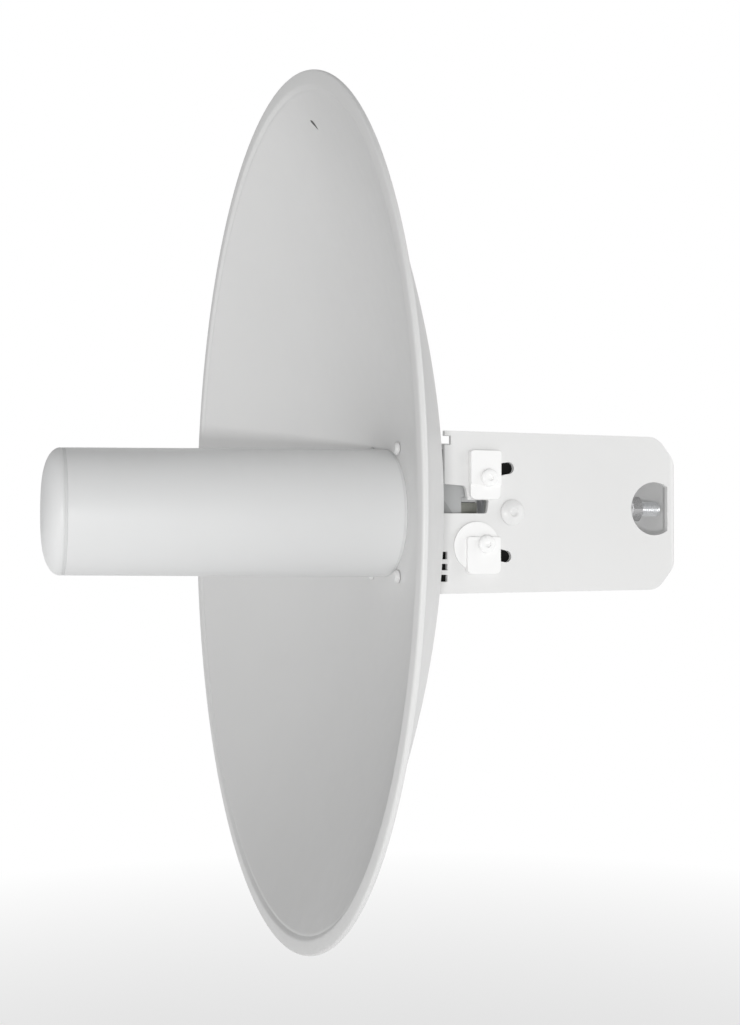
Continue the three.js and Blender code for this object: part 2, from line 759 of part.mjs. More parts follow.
for (const [side, sign] of [['right', 1], ['left', -1]]) {
  const boltPlace = [sign * BOLT_X, 0, BOLT_Z];
  add(bracket, `clamp_bolt_${side}`, clampBolt(), zinc, boltPlace);
  add(bracket, `pivot_rivet_${side}`, alongX(pivotRivet(), sign), whitePaint, [0, PIVOT_Y, 0]);
  add(bracket, `pivot_washer_${side}`, alongX(pivotWasher(), sign), stainless, [0, PIVOT_Y, 0]);
  const washer = ringY(BOLT_HOLE_R, 8, washerStartY, washerStartY + CLAMP_WASHER_T);
  add(rearJawGroup, `clamp_washer_${side}`, washer, stainless, boltPlace);
  add(rearJawGroup, `clamp_nut_${side}`, clampNut(), stainless, boltPlace);

  const shimX = [EAR_OUT + GAP, plateIn - GAP];
  const shimRange = sign > 0 ? shimX : [-shimX[1], -shimX[0]];
  add(antenna, `friction_shim_${side}`, frictionShim(...shimRange), blackNylon);
  for (const lock of LOCK_SIDE) {
    const [y, z] = lockPlace(lock);
    const seat = PLATE_HALF + GAP + TAB_T + GAP;
    const tab = add(antenna, `lock_tab_${lock.name}_${side}`, lockTab(lock), whitePaint);
    if (sign < 0) {
      tab.geometry = mirroredX(tab.geometry);
    }
    const tag = `${lock.name}_${side}`;
    add(antenna, `lock_screw_${tag}`, alongX(lockScrew(seat), sign), whitePaint, [0, y, z]);
    add(antenna, `lock_nut_${tag}`, alongX(lockNut(), sign), stainless, [0, y, z]);
  }
}

// The same solid on the other side of the x = 0 plane, its triangles turned to face out again.
function mirroredX(geometry) {
  const twin = geometry.clone().scale(-1, 1, 1);
  const index = twin.index.array;
  for (let i = 0; i < index.length; i += 3) {
    [index[i], index[i + 1]] = [index[i + 1], index[i]];
  }
  return twin;
}

add(antenna, 'reflector_dish', reflectorDish(), whitePaint);
add(antenna, 'dish_hub', dishHub(), greyCasting);
hubScrewPlaces().forEach(([x, z], i) => {
  add(antenna, `hub_screw_${i + 1}`, hubScrew(), whitePaint, [x, 0, z]);
  add(antenna, `hub_nut_${i + 1}`, hubNut(), stainless, [x, 0, z]);
});

add(antenna, 'feed_tube', feedTube(), whitePlastic);
add(antenna, 'feed_cap', feedCap(), whitePlastic);
add(antenna, 'cap_seal', ringY(28.3, 30, TUBE_TIP_Y - 1, TUBE_TIP_Y - GAP, 32), greyRubber);
add(antenna, 'base_gasket', ringY(27, 33, dishPadFrontY - 1.3, dishPadFrontY - GAP, 32), greyRubber);
add(antenna, 'sub_reflector', subReflector(), aluminium);
add(antenna, 'sub_reflector_support', subReflectorSupport(), dielectric);
add(antenna, 'waveguide', waveguide(), brass);
add(antenna, 'radio_board', box(...BOARD_X, ...BOARD_Y, -BOARD_HALF_Z, BOARD_HALF_Z), boardGreen);
add(antenna, 'shield_can', box(...CAN.x, ...CAN.y, -CAN.halfZ, CAN.halfZ), stainless);
add(antenna, 'thermal_pad', box(...PAD.x, ...PAD.y, -PAD.halfZ, PAD.halfZ), thermalGrey);
add(antenna, 'board_carrier', boardCarrier(), aluminium);
add(antenna, 'ethernet_jack', ethernetJack(), stainless);
add(antenna, 'rear_housing', rearHousing(), whitePlastic);
add(antenna, 'reset_switch', box(-8, -4, -66, -62.4, 8, 12), blackNylon);
add(antenna, 'light_pipe', box(-7.6, 3, -60, -51.7, 14.4, 16.6), clearPlastic);
add(antenna, 'port_cover', portCover(), whitePlastic);
add(antenna, 'port_cover_pin', portCoverPin(), stainless, [0, DOOR_PIN_Y, DOOR_PIN_Z]);
add(antenna, 'reset_button', resetButton(), whitePlastic, [BUTTON_X, 0, BUTTON_Z]);
add(antenna, 'release_latch', releaseLatch(), darkMetal);
add(antenna, 'latch_spring', latchSpring(), stainless);

const dishAntenna = new THREE.Group();
dishAntenna.add(bracket, rearJawGroup, antenna);

export default dishAntenna;
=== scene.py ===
"""Looks for a white dish antenna with a tubular feed, a tilting hub and a mast bracket."""
import json
import math

import bmesh
import bpy
from mathutils import Matrix, Vector


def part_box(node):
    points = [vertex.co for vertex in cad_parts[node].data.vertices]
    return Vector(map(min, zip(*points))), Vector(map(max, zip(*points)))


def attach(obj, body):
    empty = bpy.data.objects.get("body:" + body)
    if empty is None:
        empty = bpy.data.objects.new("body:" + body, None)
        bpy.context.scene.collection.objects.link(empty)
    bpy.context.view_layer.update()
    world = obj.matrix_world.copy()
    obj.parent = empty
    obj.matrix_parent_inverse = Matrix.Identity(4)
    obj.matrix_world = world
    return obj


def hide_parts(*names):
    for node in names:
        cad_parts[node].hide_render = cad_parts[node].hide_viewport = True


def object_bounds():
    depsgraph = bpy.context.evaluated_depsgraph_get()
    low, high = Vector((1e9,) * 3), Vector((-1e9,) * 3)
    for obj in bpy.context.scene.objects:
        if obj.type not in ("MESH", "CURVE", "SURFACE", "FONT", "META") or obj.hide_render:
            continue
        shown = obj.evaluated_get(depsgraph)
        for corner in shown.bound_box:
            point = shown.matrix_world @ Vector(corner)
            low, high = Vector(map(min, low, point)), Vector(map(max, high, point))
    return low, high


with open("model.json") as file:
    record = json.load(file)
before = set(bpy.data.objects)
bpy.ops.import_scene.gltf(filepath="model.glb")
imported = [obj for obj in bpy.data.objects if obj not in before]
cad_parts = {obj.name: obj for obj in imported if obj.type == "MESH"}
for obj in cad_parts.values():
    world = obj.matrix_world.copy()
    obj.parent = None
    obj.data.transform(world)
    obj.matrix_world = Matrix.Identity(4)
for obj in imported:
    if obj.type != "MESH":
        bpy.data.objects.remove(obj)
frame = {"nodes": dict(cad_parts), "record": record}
CAD_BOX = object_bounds()
NODES = frame["nodes"]
MM = 0.001
SIDES = (("right", 1), ("left", -1))
LEVELS = ("upper", "lower")


# ---------------------------------------------------------------- camera
# Close to the object's right-hand side and a little in front of it, level with the feed.
AIM = Vector((0.0159, -0.1078, 0.0))
CAMERA_AZIMUTH = math.radians(71.1)
CAMERA_ELEVATION = math.radians(-0.9)
CAMERA_DISTANCE = 0.5598
LENS = 38.8


def make_camera():
    data = bpy.data.cameras.new("camera")
    data.lens = LENS
    data.clip_start = 0.01
    camera = bpy.data.objects.new("camera", data)
    bpy.context.scene.collection.objects.link(camera)
    level = math.cos(CAMERA_ELEVATION)
    back = Vector((
        math.sin(CAMERA_AZIMUTH) * level,
        -math.cos(CAMERA_AZIMUTH) * level,
        math.sin(CAMERA_ELEVATION),
    ))
    camera.location = AIM + back * CAMERA_DISTANCE
    camera.rotation_mode = "QUATERNION"
    camera.rotation_quaternion = (-back).to_track_quat("-Z", "Y")
    bpy.context.scene.camera = camera


make_camera()


# ---------------------------------------------------------------- node helpers
# The colour sockets of a Mix node in RGBA mode, which share their names with other modes' sockets.
MIX_A, MIX_B, MIX_RESULT = 6, 7, 2
DUST = (0.46, 0.44, 0.40)
PLASTIC_DUST = (0.45, 0.43, 0.39)


class Surface:
    """A procedural material: its node tree and short ways to add nodes to it."""

    def __init__(self, name, color, roughness, metallic=0.0):
        self.material = bpy.data.materials.new(name)
        self.material.use_nodes = True
        self.tree = self.material.node_tree
        self.shader = self.tree.nodes["Principled BSDF"]
        self.shader.inputs["Metallic"].default_value = metallic
        self.shader.inputs["Roughness"].default_value = roughness
        self.shader.inputs["Base Color"].default_value = (*color, 1.0)
        self.place = self.node("ShaderNodeTexCoord").outputs["Object"]

    def node(self, kind, **settings):
        made = self.tree.nodes.new(kind)
        for key, value in settings.items():
            setattr(made, key, value)
        return made

    def link(self, output, target):
        self.tree.links.new(output, target)

    def noise(self, scale, detail=3.0, stretch=None, rough=0.5):
        texture = self.node("ShaderNodeTexNoise")
        texture.inputs["Scale"].default_value = scale
        texture.inputs["Detail"].default_value = detail
        texture.inputs["Roughness"].default_value = rough
        place = self.place
        if stretch:
            mapping = self.node("ShaderNodeMapping")
            mapping.inputs["Scale"].default_value = stretch
            self.link(self.place, mapping.inputs["Vector"])
            place = mapping.outputs["Vector"]
        self.link(place, texture.inputs["Vector"])
        return texture.outputs["Fac"]

    def spread(self, value, low, high, start=0.0, end=1.0):
        ramp = self.node("ShaderNodeMapRange")
        ramp.inputs["From Min"].default_value = low
        ramp.inputs["From Max"].default_value = high
        ramp.inputs["To Min"].default_value = start
        ramp.inputs["To Max"].default_value = end
        self.link(value, ramp.inputs["Value"])
        return ramp.outputs["Result"]

    def times(self, a, b):
        product = self.node("ShaderNodeMath", operation="MULTIPLY")
        self.link(a, product.inputs[0])
        self.link(b, product.inputs[1])
        return product.outputs[0]

    def mix(self, factor, a, b):
        blend = self.node("ShaderNodeMix", data_type="RGBA")
        self.link(factor, blend.inputs["Factor"])
        for socket, value in ((blend.inputs[MIX_A], a), (blend.inputs[MIX_B], b)):
            if isinstance(value, tuple):
                socket.default_value = (*value, 1.0)
            else:
                self.link(value, socket)
        return blend.outputs[MIX_RESULT]

    def facing_up(self):
        """How far the surface faces the sky, 0 to 1."""
        split = self.node("ShaderNodeSeparateXYZ")
        self.link(self.node("ShaderNodeNewGeometry").outputs["Normal"], split.inputs[0])
        return self.spread(split.outputs["Z"], 0.35, 1.0)

    def dusted(self, tone, scale, full, amount, dust):
        """tone with patches of dust on what faces the sky."""
        patches = self.spread(self.noise(scale, 6.0, rough=0.65), 0.42, full, 0.0, amount)
        return self.mix(self.times(self.facing_up(), patches), tone, dust)

    def worn_edge(self, low=0.52, high=0.60):
        return self.spread(self.node("ShaderNodeNewGeometry").outputs["Pointiness"], low, high)

    def bump(self, *layers):
        """Each layer is (height value, depth in metres)."""
        normal = None
        for height, depth in layers:
            step = self.node("ShaderNodeBump")
            step.inputs["Strength"].default_value = 1.0
            step.inputs["Distance"].default_value = depth
            self.link(height, step.inputs["Height"])
            if normal is not None:
                self.link(normal, step.inputs["Normal"])
            normal = step.outputs["Normal"]
        self.link(normal, self.shader.inputs["Normal"])

    def set_color(self, output):
        self.link(output, self.shader.inputs["Base Color"])

    def vary_roughness(self, pattern, low, high, start=0.3, end=0.7):
        """Roughness goes from low to high as the pattern goes from start to end."""
        self.link(self.spread(pattern, start, end, low, high), self.shader.inputs["Roughness"])


def shade(color, factor):
    return tuple(channel * factor for channel in color)


# In the finishes below a noise scale is in cycles per metre and a bump depth in metres.
def powder_coat(name, color, roughness, orange_peel=5.0e-6, dust=0.10):
    """Baked powder coat: fine orange peel, mottling, a trace of dust, faint run-off streaks."""
    s = Surface(name, color, roughness)
    s.shader.inputs["Coat Weight"].default_value = 0.12
    s.shader.inputs["Coat Roughness"].default_value = 0.22
    mottle = s.spread(s.noise(9.0, 4.0), 0.35, 0.65)
    tone = s.mix(mottle, shade(color, 0.972), color)
    tone = s.dusted(tone, 55.0, 0.75, dust, DUST)
    streak = s.spread(s.noise(30.0, 3.0, stretch=(1.0, 1.0, 0.06)), 0.60, 0.80, 0.0, 0.05)
    s.set_color(s.mix(streak, tone, shade(color, 0.80)))
    s.vary_roughness(s.noise(140.0, 3.0), roughness - 0.05, roughness + 0.07)
    s.bump((s.noise(520.0, 2.0), orange_peel), (s.noise(2600.0, 1.0), orange_peel * 0.35))
    return s.material


def moulded(name, color, roughness, texture=3.0e-6, dust=0.08):
    """Spark-eroded plastic: fine even grain, slow gloss changes where the melt flowed."""
    s = Surface(name, color, roughness)
    flow = s.spread(s.noise(14.0, 3.0, stretch=(1.0, 0.25, 1.0)), 0.3, 0.7)
    tone = s.mix(flow, shade(color, 0.975), color)
    s.set_color(s.dusted(tone, 60.0, 0.78, dust, PLASTIC_DUST))
    s.vary_roughness(s.noise(70.0, 4.0), roughness - 0.05, roughness + 0.06)
    s.bump((s.noise(3400.0, 2.0), texture), (s.noise(160.0, 2.0), texture * 1.6))
    return s.material


def cast(name, color, roughness):
    """Die-cast grey metal with its slightly rough skin."""
    s = Surface(name, color, roughness, metallic=0.25)
    tone = s.mix(s.spread(s.noise(60.0, 5.0), 0.3, 0.7), shade(color, 0.86), shade(color, 1.06))
    s.set_color(s.mix(s.worn_edge(), tone, shade(color, 1.35)))
    s.vary_roughness(s.noise(300.0, 4.0), roughness - 0.08, roughness + 0.10)
    s.bump((s.noise(1500.0, 4.0, rough=0.6), 1.4e-5))
    return s.material


def plated(name, color, roughness, grain=(1.0, 14.0, 1.0), metallic=1.0):
    """Bright metal with fine drawn lines, handling marks and brighter edges."""
    s = Surface(name, color, roughness, metallic)
    tone = s.mix(s.spread(s.noise(120.0, 5.0), 0.3, 0.7), shade(color, 0.88), color)
    s.set_color(s.mix(s.worn_edge(0.53, 0.62), tone, shade(color, 1.18)))
    lines = s.noise(900.0, 3.0, stretch=grain)
    s.vary_roughness(lines, roughness - 0.08, roughness + 0.12, 0.25, 0.75)
    s.bump((lines, 2.0e-6), (s.noise(420.0, 4.0), 3.0e-6))
    return s.material


def soft(name, color, roughness, bloom_gain, specular=0.4):
    """Rubber or nylon: matt, with a faint bloom and a pebbled skin."""
    s = Surface(name, color, roughness)
    s.shader.inputs["Specular IOR Level"].default_value = specular
    bloom = s.spread(s.noise(90.0, 5.0), 0.45, 0.8)
    s.set_color(s.mix(bloom, color, shade(color, bloom_gain)))
    s.vary_roughness(s.noise(800.0, 2.0), roughness - 0.06, roughness + 0.06)
    s.bump((s.noise(1800.0, 3.0), 6.0e-6))
    return s.material


def circuit_board(name):
    """Solder mask over fine copper tracks."""
    green = (0.012, 0.10, 0.045)
    s = Surface(name, green, 0.38)
    tracks = s.node("ShaderNodeTexVoronoi", feature="DISTANCE_TO_EDGE", distance="MANHATTAN")
    tracks.inputs["Scale"].default_value = 330.0
    s.link(s.place, tracks.inputs["Vector"])
    copper = s.spread(tracks.outputs["Distance"], 0.05, 0.12, 1.0, 0.0)
    s.set_color(s.mix(copper, green, (0.03, 0.19, 0.08)))
    s.vary_roughness(s.noise(200.0, 3.0), 0.30, 0.46)
    s.bump((copper, 2.5e-5))
    return s.material


def clear(name):
    """Clear moulded plastic with slight haze."""
    s = Surface(name, (0.90, 0.93, 0.95), 0.12)
    s.shader.inputs["Transmission Weight"].default_value = 0.85
    s.shader.inputs["IOR"].default_value = 1.58
    s.vary_roughness(s.noise(150.0, 3.0), 0.08, 0.20)
    s.bump((s.noise(700.0, 2.0), 2.0e-6))
    return s.material


MATERIALS = {
    "white_dish_paint": powder_coat("dish_powder_coat", (0.72, 0.72, 0.716), 0.48),
    "white_bracket_paint": powder_coat(
        "bracket_powder_coat", (0.785, 0.785, 0.78), 0.42, 7.0e-6),
    "white_feed_plastic": moulded("feed_plastic", (0.78, 0.785, 0.785), 0.42),
    # The hub's dark grey is partly its own die-cast grey and partly painted shade, dark enough to
    # stand for the shade where it shows through the side plates' cutouts.
    "grey_casting": cast("hub_casting_with_painted_shade", (0.335, 0.34, 0.34), 0.52),
    "zinc_plate": plated("zinc_plate", (0.80, 0.81, 0.825), 0.36, metallic=0.75),
    "stainless": plated("stainless_steel", (0.60, 0.60, 0.605), 0.28),
    "latch_metal": plated("latch_steel", (0.40, 0.405, 0.365), 0.42, (14.0, 1.0, 1.0)),
    "grey_rubber": soft("seal_rubber", (0.69, 0.695, 0.695), 0.60, 1.03),
    # Black for the board's chips. On the friction shims it is also painted shade behind the side
    # plates' notches.
    "black_nylon": soft("black_nylon", (0.006, 0.006, 0.006), 0.75, 1.8, 0.15),
    "bare_aluminium": plated("milled_aluminium", (0.76, 0.77, 0.78), 0.36),
    "brass": plated("drawn_brass", (0.72, 0.55, 0.26), 0.30),
    "dielectric": moulded("natural_polystyrene", (0.82, 0.81, 0.75), 0.34, 2.0e-6, 0.0),
    "circuit_board": circuit_board("solder_mask"),
    "thermal_pad": soft("thermal_silicone", (0.20, 0.26, 0.36), 0.85, 1.15),
    "clear_plastic": clear("clear_polycarbonate"),
}
TAB_PAINT = powder_coat("tab_powder_coat", (0.93, 0.93, 0.925), 0.36, 4.0e-6)
SLOT_OF = {row["node"]: row["material_slot"] for row in frame["record"]["subparts"]}
BODY_OF = {
    node: body
    for body, nodes in frame["record"]["behaviour"]["bodies"].items()
    for node in nodes
}


# ---------------------------------------------------------------- mesh helpers
WELD = 2.0e-6
FLAT_WITHIN = math.radians(0.6)
ON_AXIS = 1.0e-7


def new_object(name, mesh):
    obj = bpy.data.objects.new(name, mesh)
    bpy.context.scene.collection.objects.link(obj)
    return obj


def from_bmesh(name, bm, sharp_deg=32.0, weighted=True):
    bmesh.ops.recalc_face_normals(bm, faces=bm.faces)
    mesh = bpy.data.meshes.new(name)
    bm.to_mesh(mesh)
    bm.free()
    for polygon in mesh.polygons:
        polygon.use_smooth = True
    mesh.set_sharp_from_angle(angle=math.radians(sharp_deg))
    obj = new_object(name, mesh)
    if weighted:
        modifier = obj.modifiers.new("weighted_normals", "WEIGHTED_NORMAL")
        modifier.keep_sharp = True
        modifier.weight = 60
    return obj


def stands_for(obj, node):
    """obj is shown instead of the CAD node: same body, material and slot."""
    slot = SLOT_OF[node]
    obj.data.materials.clear()
    obj.data.materials.append(MATERIALS[slot])
    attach(obj, BODY_OF[node])
    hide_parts(node)
    return obj


def bm_from_node(node):
    bm = bmesh.new()
    bm.from_mesh(NODES[node].data)
    bmesh.ops.remove_doubles(bm, verts=bm.verts, dist=WELD)
    bmesh.ops.dissolve_limit(bm, angle_limit=FLAT_WITHIN, verts=bm.verts, edges=bm.edges)
    return bm


def bevel_sharp(bm, width, segments, from_deg):
    """Rounds the edges over that turn by more than from_deg."""
    sharp = [
        edge for edge in bm.edges
        if len(edge.link_faces) == 2 and edge.calc_face_angle() > math.radians(from_deg)
    ]
    bmesh.ops.bevel(
        bm, geom=sharp, offset=width, offset_type="OFFSET", segments=segments,
        profile=0.5, affect="EDGES", clamp_overlap=True,
    )


def fine_copy(node, width, segments=2, from_deg=28.0):
    """The CAD shape with its edges rounded over."""
    bm = bm_from_node(node)
    bevel_sharp(bm, width, segments, from_deg)
    return stands_for(from_bmesh(node + "_fine", bm), node)


def rounded(points, steps=5):
    """A closed (r, y) loop. A point (r, y, size) is rounded off over that distance each way."""
    out = []
    count = len(points)
    for i, point in enumerate(points):
        here = Vector(point[:2])
        size = point[2] if len(point) > 2 else 0.0
        if size <= 0.0:
            out.append((here.x, here.y))
            continue
        before = Vector(points[i - 1][:2])
        after = Vector(points[(i + 1) % count][:2])
        start = here + (before - here).normalized() * size
        end = here + (after - here).normalized() * size
        for k in range(steps + 1):
            t = k / steps
            p = start * (1 - t) ** 2 + here * (2 * t * (1 - t)) + end * t ** 2
            out.append((p.x, p.y))
    return out


def on_circle(centre, r, y, angle):
    return (centre[0] + r * math.cos(angle), y, centre[1] + r * math.sin(angle))


def round_ring(bm, r, y, segments, centre):
    step = 2 * math.pi / segments
    return [bm.verts.new(on_circle(centre, r, y, step * k)) for k in range(segments)]


def bridge(bm, a, b):
    """Faces between two closed rings of equal length."""
    count = len(a)
    for k in range(count):
        n = (k + 1) % count
        bm.faces.new((a[k], a[n], b[n], b[k]))


def turn_about_y(bm, loop, segments, centre):
    """Turns a closed (r, y) loop about the Y axis through centre (x, z)."""
    rings = []
    for r, y in loop:
        if r < ON_AXIS:
            rings.append([bm.verts.new((centre[0], y, centre[1]))])
            continue
        rings.append(round_ring(bm, r, y, segments, centre))
    for a, b in zip(rings, rings[1:] + rings[:1]):
        if len(a) == 1 and len(b) == 1:
            continue
        for k in range(segments):
            n = (k + 1) % segments
            corners = [a[k % len(a)], a[n % len(a)], b[n % len(b)], b[k % len(b)]]
            unique = []
            for v in corners:
                if v not in unique:
                    unique.append(v)
            bm.faces.new(unique)


def ring_section(inner, outer, y0, y1, edge, steps):
    """The section of a flat ring with its four edges rounded."""
    corners = ((inner, y0), (outer, y0), (outer, y1), (inner, y1))
    return rounded([(r, y, edge) for r, y in corners], steps)


def turned(name, loop, segments, centre=(0.0, 0.0), sharp_deg=32.0):
    bm = bmesh.new()
    turn_about_y(bm, loop, segments, centre)
    return from_bmesh(name, bm, sharp_deg, weighted=False)


def set_sideways(obj, node, sign):
    """Lays a piece made along +Y from the origin along +X or -X, where the CAD's node starts."""
    obj.data.transform(Matrix.Rotation(-sign * math.pi / 2, 4, "Z"))
    low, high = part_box(node)
    start = low.x if sign > 0 else high.x
    obj.data.transform(Matrix.Translation((start, middle(node).y, middle(node).z)))


def added(obj, body, slot, material=None):
    """obj is extra detail on a body, in one of the record's slots."""
    obj.data.materials.clear()
    obj.data.materials.append(material or MATERIALS[slot])
    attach(obj, body)


def chamfered_block(bm, low, high, edge):
    """A box with its edges rounded, added to bm."""
    corners = [
        bm.verts.new((x, y, z))
        for x in (low[0], high[0])
        for y in (low[1], high[1])
        for z in (low[2], high[2])
    ]
    quads = ((0, 1, 3, 2), (4, 6, 7, 5), (0, 4, 5, 1), (2, 3, 7, 6), (0, 2, 6, 4), (1, 5, 7, 3))
    faces = [bm.faces.new([corners[i] for i in quad]) for quad in quads]
    edges = {e for f in faces for e in f.edges}
    bmesh.ops.bevel(
        bm, geom=list(edges), offset=edge, offset_type="OFFSET", segments=2,
        profile=0.5, affect="EDGES", clamp_overlap=True,
    )


def middle(node):
    low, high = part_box(node)
    return (low + high) / 2


def axis_of(node):
    """Where (x, z) a node's axis along Y passes."""
    return middle(node).x, middle(node).z


# ---------------------------------------------------------------- dish
DISH_LOW, DISH_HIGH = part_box("reflector_dish")
RIM_R = DISH_HIGH.x
RIM_FRONT = DISH_LOW.y
PAD_BACK = DISH_HIGH.y
FLANGE = 5.0 * MM
FLANGE_THICK = 2.4 * MM
SHEET = 2.0 * MM
PAD_R = 44.0 * MM
PAD_BLEND = 2.0 * MM
EDGE_Y = RIM_FRONT + SHEET
BOWL_R = RIM_R - FLANGE
DEPTH = (PAD_BACK - EDGE_Y) / (1 - (PAD_R / BOWL_R) ** 2)
HOLE_R = 26.4 * MM
TICK_TOP = (44.5 * MM, 185.0 * MM)
TICK_FOOT = (48.8 * MM, 179.4 * MM)


def bowl_back(r):
    return EDGE_Y + DEPTH * (1 - (r / BOWL_R) ** 2)


def bowl_front(r):
    slope = 2 * DEPTH * r / BOWL_R ** 2
    return bowl_back(r) - SHEET * math.hypot(1, slope)


def dish_loop():
    """The dish's section: front from the hole to the rim, then back again."""
    steps = 40
    reach = BOWL_R - 6.0 * MM - PAD_R
    radii = [PAD_R + reach * k / steps for k in range(1, steps + 1)]
    front = [(HOLE_R, PAD_BACK - SHEET, 0.3 * MM), (PAD_R - PAD_BLEND, PAD_BACK - SHEET)]
    front += [(r, bowl_front(r)) for r in radii]
    front += [
        (BOWL_R - 4.0 * MM, bowl_front(BOWL_R - 4.0 * MM), 0.7 * MM),
        (BOWL_R - 3.2 * MM, bowl_front(BOWL_R - 3.2 * MM) + 0.3 * MM, 0.3 * MM),
        (BOWL_R - 1.4 * MM, RIM_FRONT + 0.35 * MM, 0.8 * MM),
        (BOWL_R + 1.4 * MM, RIM_FRONT, 1.2 * MM),
        (RIM_R, RIM_FRONT, 1.15 * MM),
    ]
    back = [
        (RIM_R, RIM_FRONT + FLANGE_THICK, 1.15 * MM),
        (BOWL_R + 2.0 * MM, RIM_FRONT + FLANGE_THICK, 0.9 * MM),
        (BOWL_R - 1.0 * MM, bowl_back(BOWL_R - 1.0 * MM), 1.0 * MM),
    ]
    back += [(r, bowl_back(r)) for r in reversed(radii)]
    back += [(PAD_R - PAD_BLEND, PAD_BACK), (HOLE_R, PAD_BACK, 0.3 * MM)]
    return rounded(front + back)


def make_dish():
    dish = turned("dish_shell", dish_loop(), 256, sharp_deg=40.0)
    stands_for(dish, "reflector_dish")


def make_dish_mark():
    """A small raised tick near the top of the bowl, from TICK_TOP to TICK_FOOT, coloured
    near-black as painted shade for the shaded side of a pressed mark.
    """
    x0, z0 = TICK_TOP
    x1, z1 = TICK_FOOT
    bm = bmesh.new()
    steps = 10
    rows = []
    for k in range(steps + 1):
        t = k / steps
        x = x0 + (x1 - x0) * t + 0.5 * MM * math.sin(math.pi * t)
        z = z0 + (z1 - z0) * t + 0.7 * MM * math.sin(math.pi * t)
        half = (0.3 + math.sin(math.pi * (0.22 + 0.72 * t))) * MM
        y = bowl_front(math.hypot(x, z))
        across = Vector((z1 - z0, 0, x0 - x1)).normalized() * half
        here = Vector((x, y, z))
        rise = Vector((0, -0.5 * MM, 0)) * math.sin(math.pi * (0.08 + 0.84 * t))
        sink = Vector((0, 0.4 * MM, 0))
        section = (sink - across, rise, sink + across, sink * 2)
        rows.append([bm.verts.new(here + offset) for offset in section])
    for a, b in zip(rows, rows[1:]):
        bridge(bm, a, b)
    bm.faces.new(rows[0])
    bm.faces.new(list(reversed(rows[-1])))
    mark = from_bmesh("dish_tick", bm, 50.0, weighted=False)
    # The tick's near-black colour is painted shade for the shaded side of a pressed mark.
    painted_shade_tick = cast("tick_painted_shade", (0.09, 0.09, 0.09), 0.6)
    added(mark, "antenna", "white_dish_paint", painted_shade_tick)


# ---------------------------------------------------------------- feed
TUBE_LOW, TUBE_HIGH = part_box("feed_tube")
CAP_LOW, CAP_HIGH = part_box("feed_cap")
CAP_R = CAP_HIGH.x
TUBE_TIP = TUBE_LOW.y
TUBE_BASE = TUBE_HIGH.y
TUBE_WALL = 2.2 * MM
LIP = 1.3 * MM
DOME_POWER = 3.3
CAP_SKIRT_OUT = 27.8 * MM
CAP_SKIRT_IN = 25.6 * MM
ROUND = 160


def make_feed():
    tube = rounded([
        (TUBE_HIGH.x, TUBE_BASE, 0.15 * MM),
        (CAP_R, TUBE_TIP, 0.15 * MM),
        (CAP_R - TUBE_WALL, TUBE_TIP, 0.2 * MM),
        (TUBE_HIGH.x - TUBE_WALL, TUBE_BASE, 0.2 * MM),
    ])
    stands_for(turned("feed_shell", tube, ROUND), "feed_tube")

    seat = TUBE_TIP - LIP
    edge = 0.4 * MM
    depth = seat - edge - CAP_LOW.y
    loop = [(CAP_R - 0.1 * MM, seat)]
    steps = 36
    for k in range(steps):
        angle = math.pi / 2 * k / steps
        r = CAP_R * math.cos(angle) ** (2 / DOME_POWER)
        loop.append((r, seat - edge - depth * math.sin(angle)))
    loop += [
        (0.0, CAP_LOW.y),
        (0.0, CAP_LOW.y + 2.2 * MM),
        (18 * MM, CAP_LOW.y + 3.0 * MM),
        (24.5 * MM, CAP_LOW.y + 5.6 * MM),
        (CAP_SKIRT_IN, CAP_LOW.y + 9.0 * MM),
        (CAP_SKIRT_IN, CAP_HIGH.y),
        (CAP_SKIRT_OUT, CAP_HIGH.y),
        (CAP_SKIRT_OUT, seat),
    ]
    stands_for(turned("feed_dome", loop, ROUND), "feed_cap")

    flush = 0.02 * MM
    seals = (
        ("cap_seal", 28.3 * MM, CAP_R - 0.08 * MM, seat, TUBE_TIP),
        ("base_gasket", 27.0 * MM, TUBE_HIGH.x - 0.2 * MM, TUBE_BASE, PAD_BACK - SHEET),
    )
    for node, inner, outer, y0, y1 in seals:
        ring = ring_section(inner, outer, y0 + flush, y1 - flush, 0.1 * MM, 3)
        stands_for(turned(node + "_ring", ring, ROUND), node)


# ---------------------------------------------------------------- fasteners
WASHER_EDGE = 0.2 * MM
WASHER_SEGMENTS = 64
HEX_SEGMENTS = 48
HEX_SMOOTH_DEG = 25.0
# (hole radius, thread pitch) of a nut.
CLAMP_THREAD = (4.1 * MM, 1.25 * MM)
LOCK_THREAD = (2.7 * MM, 0.8 * MM)
HUB_THREAD = (2.1 * MM, 0.7 * MM)
HUB_SCREWS = 4


def washer(node, inner):
    low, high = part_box(node)
    loop = ring_section(inner, (high.z - low.z) / 2, low.y, high.y, WASHER_EDGE, 2)
    stands_for(turned(node + "_ring", loop, WASHER_SEGMENTS, axis_of(node)), node)


def side_washer(node, sign, inner):
    low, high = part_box(node)
    loop = ring_section(inner, (high.z - low.z) / 2, 0.0, high.x - low.x, WASHER_EDGE, 2)
    obj = turned(node + "_ring", loop, WASHER_SEGMENTS)
    set_sideways(obj, node, sign)
    stands_for(obj, node)


def thread_rings(bm, radius, depth, pitch, y0, y1, segments, centre):
    """Rings of a screw thread from y0 to y1, its depth fading out at both ends."""
    per_turn = 6
    count = max(2, round((y1 - y0) / pitch * per_turn))
    rings = []
    for i in range(count + 1):
        y = y0 + (y1 - y0) * i / count
        fade = min(1.0, i / per_turn, (count - i) / per_turn)
        ring = []
        for k in range(segments):
            angle = 2 * math.pi * k / segments
            phase = (y / pitch + k / segments) % 1.0
            r = radius - depth * fade * abs(2 * phase - 1)
            ring.append(bm.verts.new(on_circle(centre, r, y, angle)))
        rings.append(ring)
    for a, b in zip(rings, rings[1:]):
        bridge(bm, a, b)
    return rings[0], rings[-1]


